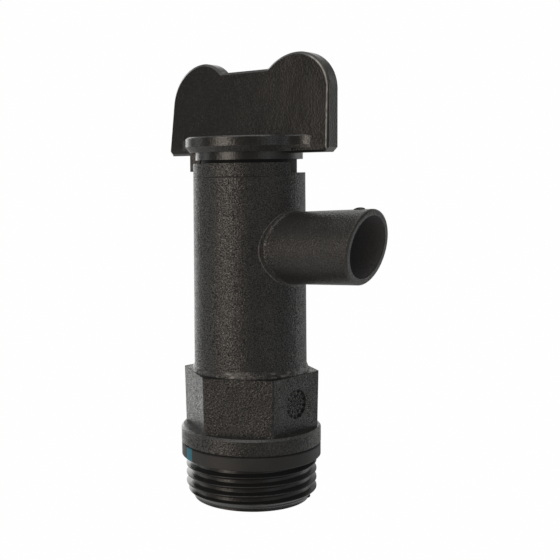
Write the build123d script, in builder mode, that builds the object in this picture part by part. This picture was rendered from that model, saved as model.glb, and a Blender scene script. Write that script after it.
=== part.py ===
from build123d import *
import math
import os

# Tap standing on its threaded end: +Z runs up the barrel and the spout points along +X.
# Zero is the sealing plane under the gasket, on the thread's axis. All sizes are in millimetres.

# Threaded end, a three-quarter inch pipe thread
thread_major_d = 26.44
thread_pitch = 1.814
thread_depth = 1.0
thread_flank_deg = 27.5
crest_width = 0.3
crest_below_gasket = 1.28
ridge_root_overlap = 0.15
thread_length = 8.65
thread_lead_height = 2.0
pilot_step = 1.6
pilot_height = 0.45
mouth_chamfer = 0.5

# Relief groove above the thread, the gasket in it and the flange over both
relief_depth = 1.27
gasket_t = 2.57
gasket_inset = 0.04
gasket_edge = 0.2
gasket_clearance = 0.05
flange_overhang = 0.85
flange_t = 3.54
flange_edge = 0.4

# Walls and fits, from the thread inwards
inlet_wall = 1.55
chamber_step = 0.3
chamber_drop = 0.7
lip_clearance = 0.15
lip_overlap = 0.5
plug_clearance = 0.05
barrel_wall = 1.8

# Hexagon, a little narrower at the bottom
hex_step = 0.69
hex_draft_loss = 0.4
hex_height = 11.26
hex_turn_deg = -3.9
hex_corner_r = 0.4
mark_d = 5.8
mark_depth = 0.2

# Barrel, a little narrower towards its rim
barrel_height = 41.01
barrel_draft_loss = 0.23
foot_step = 0.55
foot_height = 1.3
bore_lead = 0.4
shoulder_drop = 1.4

# Spout, leaning slightly up and cut on a slant at the mouth
spout_d = 13.9
spout_wall = 1.16
throat_step = 0.25
throat_reach = 12.5
spout_height = 35.39
spout_reach = 27.15
spout_rise_deg = 2.62
mouth_slant_deg = 13.4
spout_root_r = 0.8
mouth_edge_r = 0.45

# Plug in the bore
port_inset = 0.55
port_cover = 3.1
snap_play = 0.3
lip_land = 0.7
lip_lead_height = 2.2
lip_lead_step = 1.1
finger_wall = 1.5
finger_height = 8.0
slot_width = 2.2

# Sealing rings on the plug
ring_section = 1.5
ring_edge = 0.2
ring_clearance = 0.03
ring_floor_gap = 0.02
groove_side_gap = 0.15
groove_wall = 1.3
upper_ring_below_rim = 5.0
lower_groove_below_port = 9.1

# Neck, collar and stop lug
rim_gap = 0.62
neck_inset = 0.45
neck_height = 1.47
collar_overhang = 1.445
collar_height = 2.95
collar_chamfer_in = 0.85
collar_chamfer_up = 1.05
collar_top_r = 1.35
rebate_depth = 1.97
lug_floor_gap = 0.41
lug_inset = 0.35
lug_width_deg = 30.0
travel_deg = 180.0
stop_play_deg = 0.8
rebate_start_deg = -6.5

# Wing, drafted in thickness and at its ends; its lobes lean to the spout's side, where they stand higher
wing_width = 39.2
wing_end_loss = 0.5
wing_t = 3.75
wing_draft_deg = 1.0
wing_lean = 1.1
wing_drop = 0.38
wing_height = 18.4
wing_edge = 0.45
wing_corner = 0.9
valley_drop = 2.4
valley_half = 5.65
valley_corner_r = 0.8
lobe_outer_r = 7.7
lobe_rise = 0.25

# Radii worked out from the sizes above
thread_r = thread_major_d / 2
root_r = thread_r - thread_depth
pilot_r = thread_r - pilot_step
relief_r = thread_r - relief_depth
flange_r = thread_r + flange_overhang
gasket_r = flange_r - gasket_inset
inlet_r = relief_r - inlet_wall
chamber_r = inlet_r - chamber_step
lip_r = chamber_r - lip_clearance
bore_r = lip_r - lip_overlap
plug_r = bore_r - plug_clearance
barrel_r = bore_r + barrel_wall
hex_flat_r = barrel_r + hex_step
hex_low_r = hex_flat_r - hex_draft_loss / 2
rim_r = barrel_r - barrel_draft_loss
neck_r = rim_r - neck_inset
collar_r = rim_r + collar_overhang
lug_r = collar_r - lug_inset
spout_r = spout_d / 2
spout_bore_r = spout_r - spout_wall
throat_r = spout_bore_r - throat_step
port_r = throat_r - port_inset
ring_outer_r = bore_r - ring_clearance
ring_inner_r = ring_outer_r - ring_section
groove_r = ring_inner_r - ring_floor_gap
groove_half = ring_section / 2 + groove_side_gap
hollow_r = groove_r - groove_wall

# Levels worked out from the sizes above
thread_end_z = -thread_length
flange_top_z = gasket_t + flange_t
hex_top_z = flange_top_z + hex_height
rim_z = hex_top_z + barrel_height
shoulder_z = hex_top_z - shoulder_drop
spout_z = flange_top_z + spout_height
rebate_z = rim_z - rebate_depth
lug_bottom_z = rebate_z + lug_floor_gap
neck_z = rim_z + rim_gap
collar_z = neck_z + neck_height
collar_top_z = collar_z + collar_height
wing_z = collar_z - wing_drop
wing_top_z = wing_z + wing_height
valley_z = wing_top_z - valley_drop
lip_top_z = shoulder_z - snap_play
plug_bottom_z = lip_top_z - lip_land - lip_lead_height
chamber_z = plug_bottom_z - chamber_drop
hollow_top_z = spout_z + port_r + port_cover
upper_ring_z = rim_z - upper_ring_below_rim
lower_ring_z = spout_z - port_r - lower_groove_below_port
rebate_arc = travel_deg + lug_width_deg + 2 * stop_play_deg
lug_start_deg = rebate_start_deg + rebate_arc - stop_play_deg - lug_width_deg
cut_past = 2.0

# Plane across the spout, facing out along it, and the slanted plane of its mouth
rise = math.radians(spout_rise_deg)
slant = rise - math.radians(mouth_slant_deg)
spout_dir = Vector(math.cos(rise), 0, math.sin(rise))
spout_plane = Plane(origin=(0, 0, spout_z), x_dir=(0, 1, 0), z_dir=spout_dir)
mouth_centre = Vector(0, 0, spout_z) + spout_dir * spout_reach
mouth_dir = Vector(math.cos(slant), 0, math.sin(slant))
mouth_plane = Plane(origin=mouth_centre, x_dir=(0, 1, 0), z_dir=mouth_dir)


def radial_plane(angle_deg):
    # Upright plane through the tap's axis, its x running outwards at the given angle
    a = math.radians(angle_deg)
    return Plane(origin=(0, 0, 0), x_dir=(math.cos(a), math.sin(a), 0), z_dir=(math.sin(a), -math.cos(a), 0))


def leaned(x, z):
    # Point of the wing's outline, moved towards the spout in step with its height
    return (x + wing_lean * (z - wing_z) / wing_height, z)


os.makedirs("parts", exist_ok=True)

# Ridge of the thread: a trapezium swept up a helix, then trimmed to the threaded length and its lead
turns = math.ceil(thread_length / thread_pitch) + 1
ridge_start_z = -crest_below_gasket - turns * thread_pitch
flank_run = (thread_depth + ridge_root_overlap) * math.tan(math.radians(thread_flank_deg))
lead_slope = (thread_r - pilot_r) / (thread_lead_height - pilot_height)
with BuildPart() as thread_ridge:
    with BuildLine() as ridge_path:
        Helix(thread_pitch, (turns + 2) * thread_pitch, root_r, center=(0, 0, ridge_start_z))
    with BuildSketch(Plane(origin=ridge_path.line @ 0, x_dir=(1, 0, 0), z_dir=ridge_path.line % 0)):
        with BuildLine():
            Polyline(
                (-ridge_root_overlap, -crest_width / 2 - flank_run),
                (thread_depth, -crest_width / 2),
                (thread_depth, crest_width / 2),
                (-ridge_root_overlap, crest_width / 2 + flank_run),
                close=True,
            )
        make_face()
    sweep(is_frenet=True)
    with BuildSketch(Plane.XZ):
        with BuildLine():
            Polyline(
                (pilot_r - cut_past, thread_end_z + pilot_height),
                (pilot_r, thread_end_z + pilot_height),
                (thread_r + cut_past, thread_end_z + thread_lead_height + cut_past / lead_slope),
                (thread_r + cut_past, 0),
                (pilot_r - cut_past, 0),
                close=True,
            )
        make_face()
    revolve(axis=Axis.Z, mode=Mode.INTERSECT)

# Tap body, one moulding
with BuildPart() as tap_body:
    # Turned outline of the thread's core, relief groove, flange and barrel
    with BuildSketch(Plane.XZ):
        with BuildLine():
            Polyline(
                (0, thread_end_z),
                (pilot_r, thread_end_z),
                (pilot_r, thread_end_z + pilot_height),
                (root_r, thread_end_z + pilot_height + (root_r - pilot_r) / lead_slope),
                (root_r, 0),
                (relief_r, 0),
                (relief_r, gasket_t),
                (flange_r, gasket_t),
                (flange_r, flange_top_z),
                (barrel_r, flange_top_z),
                (barrel_r, hex_top_z),
                (barrel_r + foot_step, hex_top_z),
                (barrel_r, hex_top_z + foot_height),
                (rim_r, rim_z),
                (0, rim_z),
                close=True,
            )
        make_face()
    revolve(axis=Axis.Z)
    flange_edges = tap_body.edges().filter_by(GeomType.CIRCLE).filter_by(lambda e: abs(e.radius - flange_r) < 1e-6)
    chamfer(flange_edges, flange_edge)
    add(thread_ridge.part)
    # Hexagon with a flat towards the spout, drafted
    with BuildSketch(Plane.XY.offset(flange_top_z)) as hex_low:
        RegularPolygon(hex_low_r, 6, major_radius=False, rotation=30 + hex_turn_deg)
        fillet(hex_low.vertices(), hex_corner_r)
    with BuildSketch(Plane.XY.offset(hex_top_z)) as hex_high:
        RegularPolygon(hex_flat_r, 6, major_radius=False, rotation=30 + hex_turn_deg)
        fillet(hex_high.vertices(), hex_corner_r)
    loft()
    # Plain round mould mark sunk in the flat under the spout
    mark_z = (flange_top_z + hex_top_z) / 2
    mark_floor = (hex_low_r + hex_flat_r) / 2 - mark_depth
    hex_turn = math.radians(hex_turn_deg)
    mark_dir = Vector(math.cos(hex_turn), math.sin(hex_turn), 0)
    with BuildSketch(Plane(origin=mark_dir * mark_floor + Vector(0, 0, mark_z), z_dir=mark_dir)):
        Circle(mark_d / 2)
    extrude(amount=cut_past, mode=Mode.SUBTRACT)
    # Spout tube, cut on the slant, with its root and mouth rounded
    with BuildSketch(spout_plane):
        Circle(spout_r)
    extrude(amount=spout_reach + spout_r)
    with BuildSketch(mouth_plane):
        Circle(spout_d)
    extrude(amount=spout_d, mode=Mode.SUBTRACT)
    root_edges = tap_body.edges().filter_by(
        lambda e: e.bounding_box().max.X < barrel_r + 1 and e.bounding_box().min.X > 1
        and abs(e.center().Z - spout_z) < spout_r and e.bounding_box().size.Z > spout_r
        and abs(e.bounding_box().max.Z - e.bounding_box().min.Z) < spout_d + 1
    )
    fillet(root_edges, spout_root_r)
    mouth_face = tap_body.faces().sort_by(Axis.X)[-1]
    fillet(mouth_face.edges(), mouth_edge_r)
    # Bore for the plug above a shoulder, the snap lip's chamber under it, and the inlet
    with BuildSketch(Plane.XZ):
        with BuildLine():
            Polyline(
                (0, thread_end_z),
                (inlet_r + mouth_chamfer, thread_end_z),
                (inlet_r, thread_end_z + mouth_chamfer),
                (inlet_r, chamber_z),
                (chamber_r, chamber_z),
                (chamber_r, shoulder_z),
                (bore_r, shoulder_z),
                (bore_r, rim_z - bore_lead),
                (bore_r + bore_lead, rim_z),
                (0, rim_z),
                close=True,
            )
        make_face()
    revolve(axis=Axis.Z, mode=Mode.SUBTRACT)
    # Way out through the spout, a little narrower where it leaves the barrel
    with BuildSketch(spout_plane):
        Circle(throat_r)
    extrude(amount=spout_reach, mode=Mode.SUBTRACT)
    with BuildSketch(spout_plane.offset(throat_reach)):
        Circle(spout_bore_r)
    extrude(amount=spout_reach, mode=Mode.SUBTRACT)
    # Rebate in the rim where the stop lug runs
    with BuildSketch(radial_plane(rebate_start_deg)):
        with Locations(((bore_r + barrel_r) / 2, rebate_z + rebate_depth / 2)):
            Rectangle(barrel_r - bore_r + cut_past, rebate_depth)
    revolve(axis=Axis.Z, revolution_arc=rebate_arc, mode=Mode.SUBTRACT)
tap_body.part.label = "tap_body"
export_step(tap_body.part, "parts/tap_body.step")

# Plug and handle, one moulding
with BuildPart() as plug_handle:
    # Two-lobed wing
    half = wing_width / 2
    end_half = half - wing_end_loss
    lobe_x = end_half - lobe_outer_r
    lobe_mid = math.sqrt(0.5) * lobe_outer_r
    with BuildSketch(Plane.XZ) as wing_face:
        with BuildLine():
            Line((-valley_half, valley_z), (valley_half, valley_z))
            Line(leaned(wing_corner - half, wing_z), leaned(half - wing_corner, wing_z))
            for side in (1, -1):
                top_z = wing_top_z + side * lobe_rise
                lobe_z = top_z - lobe_outer_r
                peak = leaned(side * lobe_x, top_z)
                # Slope from the valley up to the peak, level where it gets there
                run = abs(peak[0]) - valley_half
                drop = top_z - valley_z
                inner_r = (run ** 2 + drop ** 2) / (2 * drop)
                mid_z = top_z - inner_r + math.sqrt(inner_r ** 2 - (run / 2) ** 2)
                ThreePointArc((side * valley_half, valley_z), (side * (valley_half + run / 2), mid_z), peak)
                ThreePointArc(
                    peak,
                    leaned(side * (lobe_x + lobe_mid), lobe_z + lobe_mid),
                    leaned(side * end_half, lobe_z),
                )
                Polyline(
                    leaned(side * end_half, lobe_z),
                    leaned(side * half, wing_z + wing_corner),
                    leaned(side * (half - wing_corner), wing_z),
                )
        make_face()
        valley_corners = wing_face.vertices().filter_by(lambda v: abs(v.Y - valley_z) < 1e-6)
        fillet(valley_corners, valley_corner_r)
    extrude(amount=wing_t / 2, both=True)
    draft(plug_handle.faces().filter_by(Axis.Y), Plane.XY.offset(wing_z), wing_draft_deg)
    wing_sides = plug_handle.faces().sort_by(SortBy.AREA)[-2:]
    chamfer(wing_sides.edges(), wing_edge)
    # Turned outline of collar, neck and plug, with its two ring grooves and snap lip
    with BuildSketch(Plane.XZ) as collar_face:
        with BuildLine():
            Polyline(
                (0, plug_bottom_z),
                (lip_r - lip_lead_step, plug_bottom_z),
                (lip_r, plug_bottom_z + lip_lead_height),
                (lip_r, lip_top_z),
                (plug_r, lip_top_z),
                (plug_r, lower_ring_z - groove_half),
                (groove_r, lower_ring_z - groove_half),
                (groove_r, lower_ring_z + groove_half),
                (plug_r, lower_ring_z + groove_half),
                (plug_r, upper_ring_z - groove_half),
                (groove_r, upper_ring_z - groove_half),
                (groove_r, upper_ring_z + groove_half),
                (plug_r, upper_ring_z + groove_half),
                (plug_r, neck_z),
                (neck_r, neck_z),
                (neck_r, collar_z),
                (collar_r - collar_chamfer_in, collar_z),
                (collar_r, collar_z + collar_chamfer_up),
                (collar_r, collar_top_z),
                (0, collar_top_z),
                close=True,
            )
        make_face()
        collar_corner = collar_face.vertices().sort_by_distance((collar_r, collar_top_z, 0))[0]
        fillet(collar_corner, collar_top_r)
    revolve(axis=Axis.Z)
    # Stop lug under the collar's edge
    lug_top_z = collar_z + collar_chamfer_up
    with BuildSketch(radial_plane(lug_start_deg)):
        with Locations(((lug_r + groove_r) / 2, (lug_bottom_z + lug_top_z) / 2)):
            Rectangle(lug_r - groove_r, lug_top_z - lug_bottom_z)
    revolve(axis=Axis.Z, revolution_arc=lug_width_deg)
    # Hollow up the middle, thinner fingers at the bottom, and the slots between them
    with BuildSketch(Plane.XY.offset(plug_bottom_z)):
        Circle(hollow_r)
    extrude(amount=hollow_top_z - plug_bottom_z, mode=Mode.SUBTRACT)
    with BuildSketch(Plane.XY.offset(plug_bottom_z)):
        Circle(plug_r - finger_wall)
    extrude(amount=finger_height, mode=Mode.SUBTRACT)
    with BuildSketch(Plane.XY.offset(plug_bottom_z)):
        Rectangle(2 * (lip_r + cut_past), slot_width, rotation=45)
        Rectangle(2 * (lip_r + cut_past), slot_width, rotation=-45)
    extrude(amount=finger_height - slot_width / 2, mode=Mode.SUBTRACT)
    # Side port, in line with the spout while the tap is open
    with BuildSketch(spout_plane):
        Circle(port_r)
    extrude(amount=plug_r + cut_past, mode=Mode.SUBTRACT)
plug_handle.part.label = "plug_handle"
export_step(plug_handle.part, "parts/plug_handle.step")

# Upper sealing ring
with BuildPart() as upper_seal_ring:
    with BuildSketch(Plane.XY.offset(upper_ring_z - ring_section / 2)):
        Circle(ring_outer_r)
        Circle(ring_inner_r, mode=Mode.SUBTRACT)
    extrude(amount=ring_section)
    chamfer(upper_seal_ring.edges().filter_by(GeomType.CIRCLE), ring_edge)
upper_seal_ring.part.label = "upper_seal_ring"
export_step(upper_seal_ring.part, "parts/upper_seal_ring.step")

# Lower sealing ring
with BuildPart() as lower_seal_ring:
    with BuildSketch(Plane.XY.offset(lower_ring_z - ring_section / 2)):
        Circle(ring_outer_r)
        Circle(ring_inner_r, mode=Mode.SUBTRACT)
    extrude(amount=ring_section)
    chamfer(lower_seal_ring.edges().filter_by(GeomType.CIRCLE), ring_edge)
lower_seal_ring.part.label = "lower_seal_ring"
export_step(lower_seal_ring.part, "parts/lower_seal_ring.step")

# Flat gasket in the relief groove under the flange
with BuildPart() as flange_gasket:
    with BuildSketch():
        Circle(gasket_r)
        Circle(relief_r + gasket_clearance, mode=Mode.SUBTRACT)
    extrude(amount=gasket_t)
    rim_edges = flange_gasket.edges().filter_by(GeomType.CIRCLE).filter_by(
        lambda e: abs(e.radius - gasket_r) < 1e-6
    )
    chamfer(rim_edges, gasket_edge)
flange_gasket.part.label = "flange_gasket"
export_step(flange_gasket.part, "parts/flange_gasket.step")
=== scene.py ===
import math

import bpy
import numpy as np
from mathutils import Matrix, Vector


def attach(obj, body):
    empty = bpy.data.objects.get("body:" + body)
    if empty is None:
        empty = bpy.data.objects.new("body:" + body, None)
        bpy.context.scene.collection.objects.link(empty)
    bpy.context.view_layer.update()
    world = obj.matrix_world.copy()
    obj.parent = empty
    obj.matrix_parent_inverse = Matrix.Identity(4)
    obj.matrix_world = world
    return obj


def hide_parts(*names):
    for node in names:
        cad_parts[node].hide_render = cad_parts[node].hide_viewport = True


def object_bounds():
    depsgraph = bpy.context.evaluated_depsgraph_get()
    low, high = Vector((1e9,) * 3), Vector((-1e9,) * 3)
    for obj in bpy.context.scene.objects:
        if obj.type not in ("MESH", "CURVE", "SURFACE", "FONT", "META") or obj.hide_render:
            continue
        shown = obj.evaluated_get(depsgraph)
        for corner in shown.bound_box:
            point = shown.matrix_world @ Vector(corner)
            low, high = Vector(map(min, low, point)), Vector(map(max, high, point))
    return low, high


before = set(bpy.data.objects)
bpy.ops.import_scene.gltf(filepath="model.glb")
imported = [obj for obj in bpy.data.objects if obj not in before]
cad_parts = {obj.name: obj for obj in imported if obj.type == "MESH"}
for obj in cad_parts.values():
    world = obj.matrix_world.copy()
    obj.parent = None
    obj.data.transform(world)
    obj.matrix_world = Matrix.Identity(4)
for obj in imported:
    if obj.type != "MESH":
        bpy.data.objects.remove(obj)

cad_low, cad_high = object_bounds()
MM = 0.001
SPOUT_RISE = math.radians(2.62)


# ---- camera, at the photograph's viewing angle ----

VIEW_DEG = 38.2
az = math.radians(VIEW_DEG)
SIDE = Vector((math.cos(az), math.sin(az), 0))      # to the right in the picture
TOWARD = Vector((math.sin(az), -math.cos(az), 0))   # to the viewer
UP = Vector((0, 0, 1))


# The photograph is the right-hand part of a wider frame, so its optical centre lies left of its middle
FOCAL_PX, PICTURE_PX = 1017.3, 560.0
CENTRE_PX = (180.0, 290.0)
CAMERA_SIDE, CAMERA_BACK, CAMERA_HEIGHT = -0.00100, 0.20249, 0.05673
VEIL = 0.004


def make_camera():
    yaw, pitch, roll = math.radians(-3.675), math.radians(6.585), math.radians(0.884)
    ahead = SIDE * math.sin(yaw) - TOWARD * math.cos(yaw)
    right = SIDE * math.cos(yaw) + TOWARD * math.sin(yaw)
    look = ahead * math.cos(pitch) - UP * math.sin(pitch)
    up = ahead * math.sin(pitch) + UP * math.cos(pitch)
    x = right * math.cos(roll) - up * math.sin(roll)
    y = right * math.sin(roll) + up * math.cos(roll)
    data = bpy.data.cameras.new("camera")
    data.sensor_width = 36.0
    data.lens = FOCAL_PX / PICTURE_PX * data.sensor_width
    data.shift_x = 0.5 - CENTRE_PX[0] / PICTURE_PX
    data.shift_y = CENTRE_PX[1] / PICTURE_PX - 0.5
    data.clip_start, data.clip_end = 0.005, 50.0
    cam = bpy.data.objects.new("camera", data)
    m = Matrix((x, y, -look)).transposed().to_4x4()
    m.translation = SIDE * CAMERA_SIDE + TOWARD * CAMERA_BACK + UP * CAMERA_HEIGHT
    cam.matrix_world = m
    bpy.context.scene.collection.objects.link(cam)
    bpy.context.scene.camera = cam


make_camera()
view = bpy.context.scene.view_settings
view.view_transform = "Standard"
# Faint veil of stray light over the picture, as in the photograph
view.use_curve_mapping = True
view.curve_mapping.black_level = (-VEIL, -VEIL, -VEIL)


# ---- small helpers for node trees ----

class Tree:
    def __init__(self, tree):
        self.t = tree
        tree.nodes.clear()

    def put(self, socket, value):
        if isinstance(value, bpy.types.NodeSocket):
            self.t.links.new(value, socket)
        else:
            socket.default_value = value

    def add(self, kind, inputs=None, **props):
        n = self.t.nodes.new(kind)
        for k, v in props.items():
            setattr(n, k, v)
        for k, v in (inputs or {}).items():
            self.put(n.inputs[k], v)
        return n

    def math(self, op, a, b=0.0, c=0.0, clamp=False):
        n = self.add("ShaderNodeMath", {0: a, 1: b, 2: c}, operation=op)
        n.use_clamp = clamp
        return n.outputs[0]

    def ramp(self, value, a, b, lo=0.0, hi=1.0, smooth=True):
        n = self.add("ShaderNodeMapRange", {"Value": value, "From Min": a, "From Max": b, "To Min": lo, "To Max": hi})
        n.interpolation_type = "SMOOTHSTEP" if smooth else "LINEAR"
        return n.outputs["Result"]

    def mix(self, fac, a, b):
        n = self.add("ShaderNodeMix", data_type="RGBA")
        self.put(n.inputs[0], fac)
        self.put(n.inputs[6], a)
        self.put(n.inputs[7], b)
        return n.outputs[2]

    def noise(self, vec, scale, detail=2.0, rough=0.5, distort=0.0):
        n = self.add("ShaderNodeTexNoise", {"Vector": vec, "Scale": scale, "Detail": detail, "Roughness": rough, "Distortion": distort})
        return n.outputs["Fac"]

    def band(self, value, centre, half, soft):
        d = self.math("ABSOLUTE", self.math("SUBTRACT", value, centre))
        return self.ramp(d, half + soft, half)


def rgb(r, g, b):
    return (r, g, b, 1.0)


# ---- stage and light ----

def make_stage():
    def white(name, backface):
        mat = bpy.data.materials.new(name)
        mat.use_nodes = True
        t = Tree(mat.node_tree)
        glow = t.add("ShaderNodeEmission", {"Color": rgb(0.992, 0.992, 0.992), "Strength": 1.0}).outputs[0]
        out = t.add("ShaderNodeOutputMaterial")
        if backface:
            geo = t.add("ShaderNodeNewGeometry")
            clear = t.add("ShaderNodeBsdfTransparent")
            glow = t.add("ShaderNodeMixShader", {0: geo.outputs["Backfacing"], 1: glow, 2: clear.outputs[0]}).outputs[0]
        t.put(out.inputs["Surface"], glow)
        mat.cycles.emission_sampling = "NONE"
        return mat

    floor_z = cad_low.z
    n = 96
    ring = [(1.2 * math.cos(2 * math.pi * i / n), 1.2 * math.sin(2 * math.pi * i / n), floor_z) for i in range(n)]
    mesh = bpy.data.meshes.new("floor")
    mesh.from_pydata(ring, [], [tuple(range(n))])
    floor = bpy.data.objects.new("floor", mesh)
    floor.data.materials.append(white("pale_floor", True))
    lat, lon, r = 24, 48, 2.0
    pts, quads = [], []
    for i in range(lat + 1):
        a = math.pi * i / lat
        for j in range(lon):
            b = 2 * math.pi * j / lon
            pts.append((r * math.sin(a) * math.cos(b), r * math.sin(a) * math.sin(b), r * math.cos(a)))
    for i in range(lat):
        for j in range(lon):
            k = (j + 1) % lon
            quads.append((i * lon + j, (i + 1) * lon + j, (i + 1) * lon + k, i * lon + k))
    mesh = bpy.data.meshes.new("backdrop")
    mesh.from_pydata(pts, [], quads)
    dome = bpy.data.objects.new("backdrop", mesh)
    dome.data.materials.append(white("pale_backdrop", False))
    for o in (floor, dome):
        bpy.context.scene.collection.objects.link(o)
        o.visible_diffuse = o.visible_glossy = o.visible_transmission = False
        o.visible_volume_scatter = o.visible_shadow = False


# Light round the object at three levels: degrees from the camera's side, right positive, and strength
LEVEL = (
    (-180, 1.05), (-165, 1.75), (-150, 1.90), (-135, 0.45), (-120, 0.10), (-105, 0.90), (-90, 0.18), (-78, 0.06),
    (-69, 0.28), (-60, 1.45), (-48, 2.65), (-37, 1.45), (-28, 0.33), (-15, 0.16), (0, 0.12), (15, 0.12),
    (30, 0.40), (45, 0.44), (60, 0.19), (75, 0.21), (90, 0.11), (105, 0.30), (120, 0.82), (135, 0.60),
    (150, 0.25), (165, 0.47), (180, 1.05),
)
ABOVE = (
    (-180, 0.90), (-150, 0.48), (-120, 0.22), (-90, 0.05), (-60, 0.46), (-30, 1.15), (0, 0.60), (30, 0.12),
    (60, 0.10), (90, 0.10), (120, 0.15), (150, 0.35), (180, 0.90),
)
BELOW = ((-180, 0.32), (-120, 0.77), (-60, 0.33), (0, 0.17), (60, 0.26), (120, 0.65), (180, 0.32))
OVERHEAD = 1.10
WARM, PLAIN = (1.12, 1.0, 0.88), (1.0, 1.0, 0.985)


def make_world():
    world = bpy.data.worlds.new("studio")
    bpy.context.scene.world = world
    world.use_nodes = True
    t = Tree(world.node_tree)
    ray = t.add("ShaderNodeTexCoord").outputs["Generated"]
    dots = []
    for axis in (SIDE, TOWARD):
        n = t.add("ShaderNodeVectorMath", {0: ray, 1: axis}, operation="DOT_PRODUCT")
        dots.append(n.outputs["Value"])
    z = t.add("ShaderNodeSeparateXYZ", {0: ray}).outputs["Z"]
    turn = t.math("ARCTAN2", dots[0], dots[1])
    at = t.math("MULTIPLY_ADD", turn, 0.5 / math.pi, 0.5)

    def around(level):
        ramp = t.add("ShaderNodeValToRGB", {"Fac": at})
        stops = ramp.color_ramp.elements
        while len(stops) < len(level):
            stops.new(0.5)
        for k, (deg, v) in enumerate(level):
            stops[k].position = deg / 360 + 0.5
        for k, (deg, v) in enumerate(level):
            tint = WARM if -80 < deg < 20 else PLAIN
            stops[k].color = rgb(v * tint[0], v * tint[1], v * tint[2])
        return ramp.outputs["Color"]

    c = t.mix(t.ramp(z, 0.30, 0.55), around(LEVEL), around(ABOVE))
    c = t.mix(t.ramp(z, 0.75, 0.93), c, rgb(*[OVERHEAD * w for w in PLAIN]))
    c = t.mix(t.ramp(z, -0.15, -0.45), c, around(BELOW))
    back = t.add("ShaderNodeBackground", {"Color": c, "Strength": 1.0})
    out = t.add("ShaderNodeOutputWorld")
    t.put(out.inputs["Surface"], back.outputs[0])


make_stage()
make_world()


# ---- materials ----

def start(name):
    mat = bpy.data.materials.new(name)
    mat.use_nodes = True
    t = Tree(mat.node_tree)
    at = t.add("ShaderNodeTexCoord").outputs["Object"]
    return mat, t, at


def end(t, colour, rough, bump, shine=0.5, **constants):
    p = t.add("ShaderNodeBsdfPrincipled", {"Base Color": colour, "Roughness": rough, "Specular IOR Level": shine})
    for k, v in constants.items():
        p.inputs[k.replace("_", " ")].default_value = v
    if bump is not None:
        t.put(p.inputs["Normal"], bump)
    out = t.add("ShaderNodeOutputMaterial")
    t.put(out.inputs["Surface"], p.outputs[0])


def bump(t, height, distance, under=None, strength=1.0):
    n = t.add("ShaderNodeBump", {"Height": height, "Distance": distance, "Strength": strength})
    if under is not None:
        t.put(n.inputs["Normal"], under)
    return n.outputs["Normal"]


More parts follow.
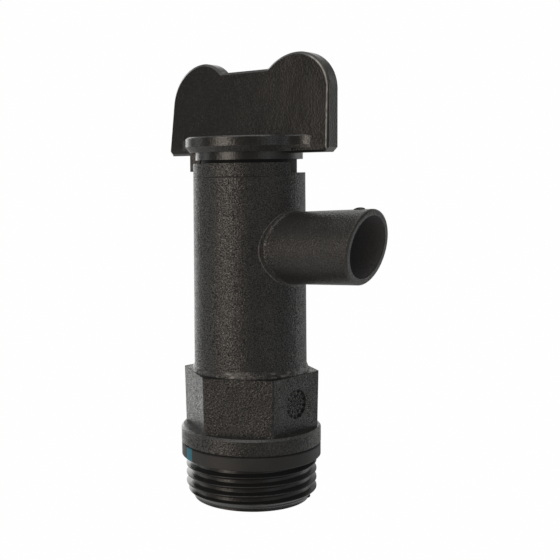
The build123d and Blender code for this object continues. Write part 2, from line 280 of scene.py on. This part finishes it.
def body_material():
    mat, t, at = start("moulded_body")
    xyz = t.add("ShaderNodeSeparateXYZ", {0: at})
    x, y, z = xyz.outputs
    turn = t.math("ARCTAN2", y, x)
    # Spark-eroded grain everywhere but on the thread
    grain_on = t.ramp(z, -0.0005, 0.003, 0.25, 1.0)
    pebble = t.add("ShaderNodeTexVoronoi", {"Vector": at, "Scale": 3400.0}, feature="SMOOTH_F1").outputs["Distance"]
    fine = t.noise(at, 3800.0, 3.0, 0.6)
    grain = t.math("MULTIPLY", t.math("ADD", fine, pebble), grain_on)
    # Round mould mark on the flat under the spout, roughened by coarse erosion
    flat = math.radians(-3.9)
    across = t.math("SUBTRACT", t.math("MULTIPLY", y, math.cos(flat)), t.math("MULTIPLY", x, math.sin(flat)))
    off = t.math("SQRT", t.math("ADD", t.math("POWER", across, 2.0), t.math("POWER", t.math("SUBTRACT", z, 0.01174), 2.0)))
    mark = t.math("MULTIPLY", t.ramp(off, 0.0031, 0.0029), t.ramp(x, 0.010, 0.011))
    blotch = t.noise(at, 1300.0, 2.0, 0.6)
    round_it = t.math("ARCTAN2", t.math("SUBTRACT", z, 0.01174), across)
    rays = t.math("SINE", t.math("MULTIPLY_ADD", round_it, 13.0, t.math("MULTIPLY", blotch, 9.0)))
    rings = t.math("SINE", t.math("MULTIPLY_ADD", off, 6500.0, t.math("MULTIPLY", blotch, 8.0)))
    nicks = t.math("MULTIPLY", t.math("MULTIPLY", t.ramp(rays, -0.35, 0.15), t.ramp(rings, -0.85, -0.4)), mark)
    # Waves of the cooled skin, the mould's parting line along the spout's plane, a line below the rim, a scratch
    wave = t.noise(at, 160.0, 2.0, 0.5)
    part = t.math("MULTIPLY", t.band(y, 0.0, 0.00004, 0.00008), t.ramp(z, 0.003, 0.0035))
    front = t.math("MULTIPLY", t.ramp(y, 0.001, -0.001), t.ramp(x, 0.0095, 0.0085))
    seam = t.math("MULTIPLY", t.band(z, 0.05575, 0.00007, 0.00007), front)
    slope = t.math("MULTIPLY_ADD", t.math("SUBTRACT", turn, math.radians(-73.0)), -0.0036, 0.0292)
    score = t.math("MULTIPLY", t.band(t.math("SUBTRACT", z, slope), 0.0, 0.00002, 0.00006), t.band(turn, math.radians(-73.0), 0.11, 0.03))
    lines = t.math("SUBTRACT", part, t.math("ADD", seam, score))
    n = bump(t, wave, 0.00025)
    n = bump(t, lines, 0.00005, n)
    n = bump(t, t.math("SUBTRACT", 0.0, nicks), 0.00014, n)
    n = bump(t, grain, 0.00007, n)
    tone = t.noise(at, 110.0, 4.0, 0.6)
    speck = t.noise(at, 5600.0, 1.0, 0.5)
    colour = t.mix(t.ramp(tone, 0.3, 0.7), rgb(0.0150, 0.0146, 0.0142), rgb(0.0235, 0.0229, 0.0223))
    # Shiny thread, blacker in colour as painted shade of its deep grooves, pits of the mark, and a paler bore in the
    # spout, painted light inside it
    bare = t.ramp(z, 0.0, -0.0006)
    # The thread's blacker colour is painted shade of its grooves
    colour = t.mix(bare, colour, rgb(0.0065, 0.0063, 0.0060))
    colour = t.mix(t.math("MULTIPLY", nicks, 0.9), colour, rgb(0.003, 0.003, 0.003))
    lift = t.math("SUBTRACT", t.math("SUBTRACT", z, 0.0415), t.math("MULTIPLY", x, math.tan(SPOUT_RISE)))
    from_axis = t.math("SQRT", t.math("ADD", t.math("POWER", y, 2.0), t.math("POWER", lift, 2.0)))
    # Paler colour in the bore: painted light inside the spout
    bore = t.math("MULTIPLY", t.ramp(from_axis, 0.0060, 0.0059), t.ramp(x, 0.010, 0.012))
    colour = t.mix(bore, colour, t.mix(tone, rgb(0.105, 0.105, 0.109), rgb(0.155, 0.155, 0.161)))
    # Smear of paint on the first thread below the gasket's dab
    smear = t.math("MULTIPLY", t.band(turn, math.radians(-117.0), 0.06, 0.05), t.band(z, -0.0009, 0.0006, 0.0004))
    smear = t.math("MULTIPLY", smear, t.ramp(t.noise(at, 1400.0, 3.0, 0.7), 0.35, 0.6))
    colour = t.mix(smear, colour, rgb(0.060, 0.085, 0.075))
    rough = t.math("ADD", t.ramp(bare, 0.0, 1.0, 0.33, 0.14), t.math("MULTIPLY", t.math("SUBTRACT", tone, 0.5), 0.12))
    rough = t.math("ADD", rough, t.math("MULTIPLY", t.math("SUBTRACT", 0.5, speck), t.ramp(bare, 0.0, 1.0, 0.6, 0.0)))
    # Pale line on the barrel round the spout's root, a painted highlight of the root's fillet, and the pale rim of the
    # mouth, a painted highlight of its lip
    ring = t.math("MULTIPLY", t.band(from_axis, 0.00762, 0.00004, 0.00007), t.ramp(t.math("ABSOLUTE", x), 0.0110, 0.0100))
    ring = t.math("MULTIPLY", ring, t.math("MULTIPLY", t.ramp(x, 0.004, 0.006), t.ramp(blotch, 0.3, 0.55, 0.3, 1.0)))
    colour = t.mix(ring, colour, rgb(0.14, 0.135, 0.13))
    # Pale rim of the mouth: painted highlight of its lip
    past = t.math("SUBTRACT", t.math("SUBTRACT", x, 0.02712), t.math("MULTIPLY", lift, math.tan(math.radians(13.4))))
    rim = t.math("MULTIPLY", t.ramp(past, -0.0004, -0.0001), t.ramp(from_axis, 0.0057, 0.0059))
    colour = t.mix(rim, colour, rgb(0.045, 0.044, 0.043))
    # Pale flecks where the barrel's foot runs out on the hexagon, painted glints of its grazing ledge; the skin there
    # is also uneven and glossier
    flow = t.add("ShaderNodeCombineXYZ", {0: t.math("MULTIPLY", turn, 0.004), 1: z, 2: 0.0}).outputs[0]
    painted_glints = t.math("MULTIPLY", t.band(z, 0.0179, 0.0003, 0.0004), t.ramp(t.noise(flow, 1500.0, 3.0, 0.6), 0.52, 0.66))
    colour = t.mix(painted_glints, colour, rgb(0.17, 0.165, 0.16))
    foot = t.math("MULTIPLY", t.band(z, 0.0180, 0.0005, 0.0003), t.ramp(t.noise(at, 700.0, 2.0, 0.6), 0.45, 0.6))
    rough = t.mix(foot, rough, rgb(0.14, 0.14, 0.14))
    # The grain's tips shine and its pits don't
    shine = t.mix(bare, t.ramp(speck, 0.41, 0.56, 0.03, 1.0), rgb(0.56, 0.56, 0.56))
    smooth = t.math("MULTIPLY", t.ramp(from_axis, 0.0076, 0.0072), t.ramp(x, 0.010, 0.0115))
    shine = t.mix(t.math("MULTIPLY", smooth, 0.6), shine, rgb(0.48, 0.48, 0.48))
    shine = t.mix(nicks, shine, rgb(0.03, 0.03, 0.03))
    shine = t.mix(t.math("MULTIPLY", seam, 0.75), shine, rgb(0.05, 0.05, 0.05))
    shine = t.mix(foot, shine, rgb(1.0, 1.0, 1.0))
    # The flange's upper edge is rubbed smooth
    from_z = t.math("SQRT", t.math("ADD", t.math("POWER", x, 2.0), t.math("POWER", y, 2.0)))
    rubbed = t.math("MULTIPLY", t.band(z, 0.0059, 0.0002, 0.00008), t.ramp(from_z, 0.0134, 0.0136))
    rough = t.mix(rubbed, rough, rgb(0.18, 0.18, 0.18))
    shine = t.mix(rubbed, shine, rgb(0.9, 0.9, 0.9))
    # Painted shade on the top of the hexagon round the barrel's foot: darker colour and duller shine
    ledge = t.math("MULTIPLY", t.band(z, 0.01737, 0.00006, 0.00010), t.ramp(from_z, 0.0117, 0.0119))
    colour = t.mix(ledge, colour, rgb(0.0040, 0.0039, 0.0038))
    shine = t.mix(t.math("MULTIPLY", ledge, 0.85), shine, rgb(0.04, 0.04, 0.04))
    end(t, colour, rough, n, shine, IOR=1.5)
    return mat


# Lobe of the wing over the spout, which leans to that side
LOBE_X, LOBE_Z, WING_LOW, LEAN = 0.0114, 0.07104, 0.06009, 1.1 / 18.4


def handle_material():
    mat, t, at = start("moulded_handle")
    tall = t.add("ShaderNodeMapping", {"Vector": at, "Scale": (1.0, 1.0, 0.12)}).outputs[0]
    streak = t.noise(tall, 900.0, 3.0, 0.6)
    fine = t.noise(at, 3000.0, 2.0, 0.6)
    wave = t.noise(at, 120.0, 2.0, 0.5)
    n = bump(t, wave, 0.00014)
    n = bump(t, fine, 0.00005, n)
    colour = t.mix(t.ramp(streak, 0.3, 0.7), rgb(0.0082, 0.0078, 0.0073), rgb(0.0096, 0.0091, 0.0086))
    # Painted highlights: pale lines along the edges of the wing's end over the spout
    x, y, z = t.add("ShaderNodeSeparateXYZ", {0: at}).outputs
    level = t.math("SUBTRACT", x, t.math("MULTIPLY", t.math("SUBTRACT", z, WING_LOW), LEAN))
    over = t.math("MAXIMUM", t.math("SUBTRACT", z, LOBE_Z), 0.0)
    from_lobe = t.math("POWER", t.math("SUBTRACT", level, LOBE_X), 2.0)
    from_lobe = t.math("SQRT", t.math("ADD", from_lobe, t.math("POWER", over, 2.0)))
    edge_at = t.ramp(z, LOBE_Z, 0.06099, 0.00725, 0.00775, smooth=False)
    inner = t.band(t.math("SUBTRACT", from_lobe, edge_at), 0.0, 0.00007, 0.00009)
    inner = t.math("MULTIPLY", inner, t.ramp(y, -0.0012, -0.0014))
    inner = t.math("MULTIPLY", inner, t.ramp(level, 0.0125, 0.0155))
    outer = t.math("MULTIPLY", t.band(y, -0.00132, 0.00003, 0.00006), t.ramp(x, 0.0193, 0.0195))
    outer = t.math("MULTIPLY", outer, t.ramp(z, 0.0740, 0.0715))
    painted_edge_highlights = t.math("ADD", inner, t.math("MULTIPLY", outer, 0.3))
    painted_edge_highlights = t.math("MULTIPLY", painted_edge_highlights, t.ramp(z, 0.0602, 0.0612))
    painted_edge_highlights = t.math("MULTIPLY", painted_edge_highlights, t.ramp(t.noise(at, 1100.0, 3.0, 0.6), 0.3, 0.6, 0.5, 1.0))
    # Pale colour here is the painted highlight of these edges
    colour = t.mix(painted_edge_highlights, colour, rgb(0.42, 0.42, 0.41))
    rough = t.math("ADD", 0.16, t.math("MULTIPLY", t.math("SUBTRACT", wave, 0.5), 0.08))
    shine = t.ramp(fine, 0.3, 0.7, 0.62, 0.85)
    # Painted shade: blacker colour on the plug below the neck ring; its skin there is also duller and rougher
    from_z = t.math("SQRT", t.math("ADD", t.math("POWER", x, 2.0), t.math("POWER", y, 2.0)))
    plug = t.math("MULTIPLY", t.ramp(z, 0.05905, 0.05900), t.ramp(from_z, 0.0102, 0.0100))
    colour = t.mix(plug, colour, rgb(0.0045, 0.0043, 0.0041))
    rough = t.mix(plug, rough, t.mix(streak, rgb(0.40, 0.40, 0.40), rgb(0.55, 0.55, 0.55)))
    shine = t.mix(plug, shine, rgb(0.08, 0.08, 0.08))
    # Grain on the collar, as on the body
    collar_on = t.math("MULTIPLY", t.band(z, 0.0620, 0.0015, 0.0001), t.ramp(from_z, 0.0110, 0.0114))
    collar_on = t.math("MULTIPLY", collar_on, t.ramp(t.math("ABSOLUTE", y), 0.0018, 0.0020))
    tips = t.ramp(t.noise(at, 5600.0, 1.0, 0.5), 0.40, 0.56, 0.35, 1.0)
    shine = t.mix(collar_on, shine, tips)
    rough = t.mix(collar_on, rough, t.ramp(tips, 0.35, 1.0, 0.26, 0.16))
    under = t.math("MULTIPLY", collar_on, t.ramp(z, 0.0617, 0.0615))
    rough = t.mix(under, rough, t.ramp(tips, 0.35, 1.0, 0.62, 0.50))
    end(t, colour, rough, n, shine, IOR=1.5)
    return mat


def gasket_material():
    mat, t, at = start("gasket_rubber_look")
    xyz = t.add("ShaderNodeSeparateXYZ", {0: at})
    x, y, z = xyz.outputs
    tone = t.noise(at, 300.0, 4.0, 0.6)
    fine = t.noise(at, 4200.0, 3.0, 0.6)
    colour = t.mix(t.ramp(tone, 0.3, 0.7), rgb(0.0170, 0.0168, 0.0170), rgb(0.0250, 0.0245, 0.0242))
    # Dab of blue paint on the rim
    turn = t.math("ARCTAN2", y, x)
    ragged = t.math("MULTIPLY_ADD", t.noise(at, 900.0, 2.0), 0.05, -0.025)
    dab = t.band(t.math("ADD", turn, ragged), math.radians(-112.7), math.radians(4.0), math.radians(1.2))
    colour = t.mix(dab, colour, rgb(0.008, 0.165, 0.250))
    n = bump(t, fine, 0.00002)
    rough = t.ramp(tone, 0.2, 0.8, 0.5, 0.62)
    end(t, colour, rough, n, IOR=1.5)
    return mat


def ring_material():
    mat, t, at = start("ring_rubber_look")
    tone = t.noise(at, 400.0, 4.0, 0.6)
    fine = t.noise(at, 5000.0, 2.0)
    colour = t.mix(t.ramp(tone, 0.3, 0.7), rgb(0.010, 0.010, 0.010), rgb(0.020, 0.019, 0.019))
    rough = t.ramp(tone, 0.2, 0.8, 0.4, 0.55)
    end(t, colour, rough, bump(t, fine, 0.00001), IOR=1.5)
    return mat


# ---- body with its real thread ----

THREAD_R, ROOT_R, PILOT_R, RELIEF_R = 13.22, 12.22, 11.62, 11.95
PITCH, CREST_HALF, FLANK = 1.814, 0.07, math.tan(math.radians(27.5))
CREST_AT, CREST_TURN = -1.28, 0.0
END_Z, LEAD_Z, PILOT_Z = -8.65, -6.65, -8.2


def soft_max(a, b, k):
    h = np.clip(0.5 + 0.5 * (a - b) / k, 0, 1)
    return b + (a - b) * h + k * h * (1 - h)


def thread_radius(turn, z):
    crest = CREST_AT + PITCH * (turn - CREST_TURN) / (2 * math.pi)
    off = np.abs((z - crest + PITCH / 2) % PITCH - PITCH / 2)
    tooth = THREAD_R - soft_max(off - CREST_HALF, 0.0, 0.02) / FLANK
    r = soft_max(tooth, ROOT_R, 0.06)
    lead = np.interp(z, [END_Z, PILOT_Z, LEAD_Z], [PILOT_R, PILOT_R, THREAD_R])
    return -soft_max(-r, -lead, 0.06)


def thread_mesh():
    n, rows = 180, 24
    turns = int(math.ceil(-END_Z / PITCH)) + 2
    first = CREST_AT - PITCH * (turns - 1)
    pts, quads, normals = [], [], []
    t = np.arange(n * turns + 1) * 2 * math.pi / n
    p = np.arange(rows + 1) / rows * PITCH
    turn, up = np.meshgrid(CREST_TURN + t, p, indexing="ij")
    z = np.clip(first + PITCH * (turn - CREST_TURN) / (2 * math.pi) + up, END_Z, 0.0)
    r = thread_radius(turn, z)
    e = 0.01
    r_z = (thread_radius(turn, z + e) - thread_radius(turn, z - e)) / (2 * e)
    r_t = (thread_radius(turn + e, z) - thread_radius(turn - e, z)) / (2 * e)
    c, s = np.cos(turn), np.sin(turn)
    pos = np.stack([r * c, r * s, z], -1)
    nor = np.stack([c + r_t / r * s, s - r_t / r * c, -r_z], -1)
    nor /= np.linalg.norm(nor, axis=-1, keepdims=True)
    idx = np.arange(pos.shape[0] * pos.shape[1]).reshape(pos.shape[:2])
    for i in range(pos.shape[0] - 1):
        for j in range(rows):
            q = (idx[i, j], idx[i + 1, j], idx[i + 1, j + 1], idx[i, j + 1])
            zs = [z.flat[k] for k in q]
            if max(zs) - min(zs) > 1e-6:
                quads.append(tuple(int(k) for k in q))
    pos, nor = pos.reshape(-1, 3), nor.reshape(-1, 3)
    corner = [tuple(nor[k]) for q in quads for k in q]
    # Flat top of the thread, in under the gasket
    base = len(pos)
    a = np.arange(n) * 2 * math.pi / n
    ro = thread_radius(a, np.zeros(n))
    top = np.concatenate([
        np.stack([ro * np.cos(a), ro * np.sin(a), 0 * a], -1),
        np.stack([(RELIEF_R - 0.03) * np.cos(a), (RELIEF_R - 0.03) * np.sin(a), 0 * a], -1),
    ])
    for i in range(n):
        k = (i + 1) % n
        quads.append((base + i, base + k, base + n + k, base + n + i))
        corner += [(0, 0, 1)] * 4
    return np.concatenate([pos, top]) * MM, quads, corner


def blob_mesh(centre, along, out, size):
    """A small rounded lump: centre in metres, two directions, sizes along, across and out."""
    a, o = Vector(along).normalized(), Vector(out).normalized()
    s = o.cross(a)
    lat, lon = 8, 14
    pts, quads, corner, nor = [], [], [], []
    for i in range(lat + 1):
        u = math.pi * i / lat
        for j in range(lon):
            v = 2 * math.pi * j / lon
            d = (math.sin(u) * math.cos(v), math.sin(u) * math.sin(v), math.cos(u))
            wob = 1 + 0.18 * math.sin(3 * v + 2 * u) * math.sin(u)
            pts.append(Vector(centre) + (a * d[0] * size[0] + s * d[1] * size[1]) * wob + o * d[2] * size[2])
            nor.append((a * d[0] / size[0] + s * d[1] / size[1] + o * d[2] / size[2]).normalized())
    for i in range(lat):
        for j in range(lon):
            k = (j + 1) % lon
            q = (i * lon + j, (i + 1) * lon + j, (i + 1) * lon + k, i * lon + k)
            quads.append(q)
            corner += [tuple(nor[m]) for m in q]
    return np.array(pts), quads, corner


def node_arrays(name, keep=None):
    """A CAD node's points, faces and corner normals in the frame, without the faces that keep turns down."""
    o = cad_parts[name]
    mesh = o.data
    co = np.empty(len(mesh.vertices) * 3, dtype=np.float32)
    mesh.vertices.foreach_get("co", co)
    m = np.array(o.matrix_world)
    co = co.reshape(-1, 3) @ m[:3, :3].T + m[:3, 3]
    nor = np.empty(len(mesh.loops) * 3, dtype=np.float32)
    mesh.corner_normals.foreach_get("vector", nor)
    nor = nor.reshape(-1, 3) @ m[:3, :3].T
    faces, corner = [], []
    for p in mesh.polygons:
        v = tuple(p.vertices)
        if keep is None or keep(co[list(v)]):
            faces.append(v)
            corner += [tuple(nor[k]) for k in p.loop_indices]
    return co, faces, corner


def make_piece(name, parts, material):
    pts, faces, corner = [], [], []
    for p, f, c in parts:
        base = sum(len(q) for q in pts)
        pts.append(np.asarray(p, dtype=float))
        faces += [tuple(k + base for k in q) for q in f]
        corner += list(c)
    mesh = bpy.data.meshes.new(name)
    mesh.from_pydata([tuple(v) for v in np.concatenate(pts)], [], faces)
    mesh.polygons.foreach_set("use_smooth", [True] * len(mesh.polygons))
    mesh.normals_split_custom_set(corner)
    mesh.materials.append(material)
    o = bpy.data.objects.new(name, mesh)
    bpy.context.scene.collection.objects.link(o)
    return o


def not_thread(v):
    return not (v[:, 2].max() < 1e-6 and np.hypot(v[:, 0], v[:, 1]).min() > 11.5 * MM)


def spout_top(reach):
    """A point on the spout's top line, that far along its axis, in metres."""
    a = Vector((math.cos(SPOUT_RISE), 0, math.sin(SPOUT_RISE)))
    return Vector((0, 0, 41.5)) * MM + a * reach * MM + Vector((-math.sin(SPOUT_RISE), 0, math.cos(SPOUT_RISE))) * 6.95 * MM


def nib(turn_deg, r, z, size):
    a = math.radians(turn_deg)
    out = Vector((math.cos(a), math.sin(a), 0))
    return blob_mesh(out * r * MM + UP * z * MM, UP, out, [s * MM for s in size])


body = make_piece(
    "threaded_body",
    [
        node_arrays("tap_body", not_thread),
        thread_mesh(),
        blob_mesh(spout_top(25.7), (1, 0, 0.04), (0, 0, 1), (1.1 * MM, 0.5 * MM, 0.36 * MM)),
        nib(23.0, 11.8, -8.05, (0.5, 0.3, 0.4)),
    ],
    body_material(),
)
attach(body, "body")
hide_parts("tap_body")


# ---- crisp rim of the collar, and webs in the corners between it and the wing ----

COLLAR_R, WING_HALF, WEB_R = 12.465, 1.85, 5.2
WEB_LOW, WEB_HIGH, WEB_EDGE = 61.0, 63.43, 0.25


def rim_mesh():
    """A ring over the collar's rounded edge: side, narrow bevel, top and underside."""
    r = COLLAR_R + 0.01
    line = [(11.0, 61.6), (r, 61.6), (r, WEB_HIGH - WEB_EDGE), (r - WEB_EDGE, WEB_HIGH), (11.0, WEB_HIGH), (11.0, 61.6)]
    n = 120
    pts, quads, corner = [], [], []
    for (r0, z0), (r1, z1) in zip(line, line[1:]):
        size = math.hypot(r1 - r0, z1 - z0)
        out, up = (z1 - z0) / size, (r0 - r1) / size
        base = len(pts)
        for i in range(n):
            c, s = math.cos(2 * math.pi * i / n), math.sin(2 * math.pi * i / n)
            pts += [(r0 * c * MM, r0 * s * MM, z0 * MM), (r1 * c * MM, r1 * s * MM, z1 * MM)]
        for i in range(n):
            k = (i + 1) % n
            quads.append((base + 2 * i, base + 2 * k, base + 2 * k + 1, base + 2 * i + 1))
            for j in (i, k, k, i):
                a = 2 * math.pi * j / n
                corner.append((out * math.cos(a), out * math.sin(a), up))
    return pts, quads, corner


def web_mesh(side, face):
    """A fan-shaped prism: hollow arc from the wing's face to the collar's rim, point buried in both."""
    cy = WING_HALF + WEB_R
    cx = math.sqrt((COLLAR_R + WEB_R) ** 2 - cy ** 2)
    low = -math.pi / 2
    high = -math.pi + math.atan2(cy, cx)
    steps = 20
    turn = low + (high - low) * np.arange(steps + 1) / steps
    pts, quads, corner = [], [], []

    def place(v):
        return (v[0] * side * MM, v[1] * face * MM, v[2] * MM)

    def put(poly, normals):
        base = len(pts)
        order = list(range(len(poly)))
        if side * face > 0:
            order.reverse()
        pts.extend(place(poly[k]) for k in order)
        quads.append(tuple(range(base, base + len(poly))))
        corner.extend((normals[k][0] * side, normals[k][1] * face, normals[k][2]) for k in order)

    def row(r, z):
        return [(cx + r * math.cos(a), cy + r * math.sin(a), z) for a in turn]

    rows = [row(WEB_R, WEB_LOW), row(WEB_R, WEB_HIGH - WEB_EDGE), row(WEB_R + WEB_EDGE, WEB_HIGH)]
    for k, tilt in ((0, 0.0), (1, math.pi / 4)):
        n = [(-math.cos(a) * math.cos(tilt), -math.sin(a) * math.cos(tilt), math.sin(tilt)) for a in turn]
        for i in range(steps):
            put([rows[k][i], rows[k + 1][i], rows[k + 1][i + 1], rows[k][i + 1]], [n[i], n[i], n[i + 1], n[i + 1]])
    root = (11.5, 1.2)
    for i in range(steps):
        put([rows[2][i], root + (WEB_HIGH,), rows[2][i + 1]], [(0, 0, 1)] * 3)
        put([rows[0][i], rows[0][i + 1], root + (WEB_LOW,)], [(0, 0, -1)] * 3)
    return pts, quads, corner


def dress(node, material):
    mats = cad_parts[node].data.materials
    mats.clear()
    mats.append(material)


handle_look = handle_material()
webs = [web_mesh(a, b) for a in (1, -1) for b in (1, -1)]
collar = make_piece("collar_rim", [rim_mesh()] + webs, handle_look)
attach(collar, "handle")
dress("plug_handle", handle_look)
dress("flange_gasket", gasket_material())
rubber = ring_material()
dress("upper_seal_ring", rubber)
dress("lower_seal_ring", rubber)
